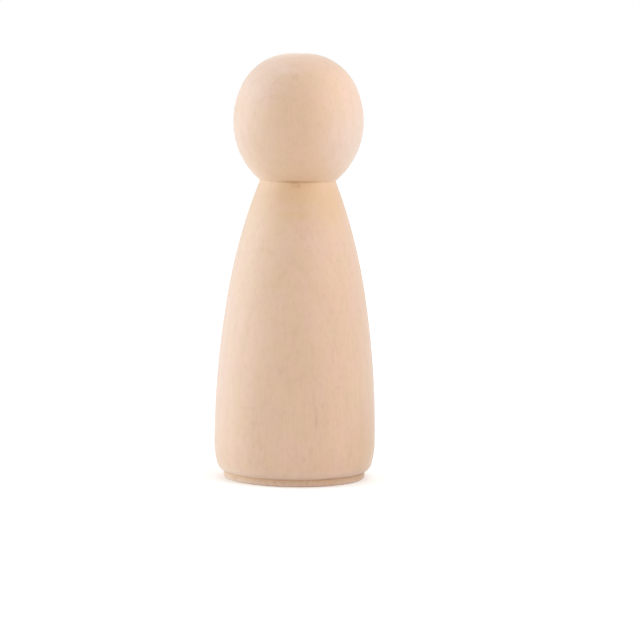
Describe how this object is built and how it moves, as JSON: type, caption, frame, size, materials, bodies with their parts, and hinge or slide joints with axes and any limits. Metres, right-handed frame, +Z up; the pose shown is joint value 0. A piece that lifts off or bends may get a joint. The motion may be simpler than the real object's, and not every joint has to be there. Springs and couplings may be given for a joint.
{
  "type": "peg doll",
  "caption": "Plain unpainted turned wooden doll blank: ball head, scored neck crease and bell-shaped body on a thin flat foot, for standing and painting.",
  "frame": {"origin": "centre of the flat foot, on the surface the doll stands on", "axes": "+Z up along the turning axis, from the foot to the crown; X and Y lie in the foot's plane and are alike"},
  "size_m": [0.0248, 0.0248, 0.065],
  "materials": {
    "bare_wood": "bare pale wood, sanded, unfinished, with fine upright grain"
  },
  "bodies": {
    "root": {"peg_doll": "bare_wood"}
  },
  "joints": []
}
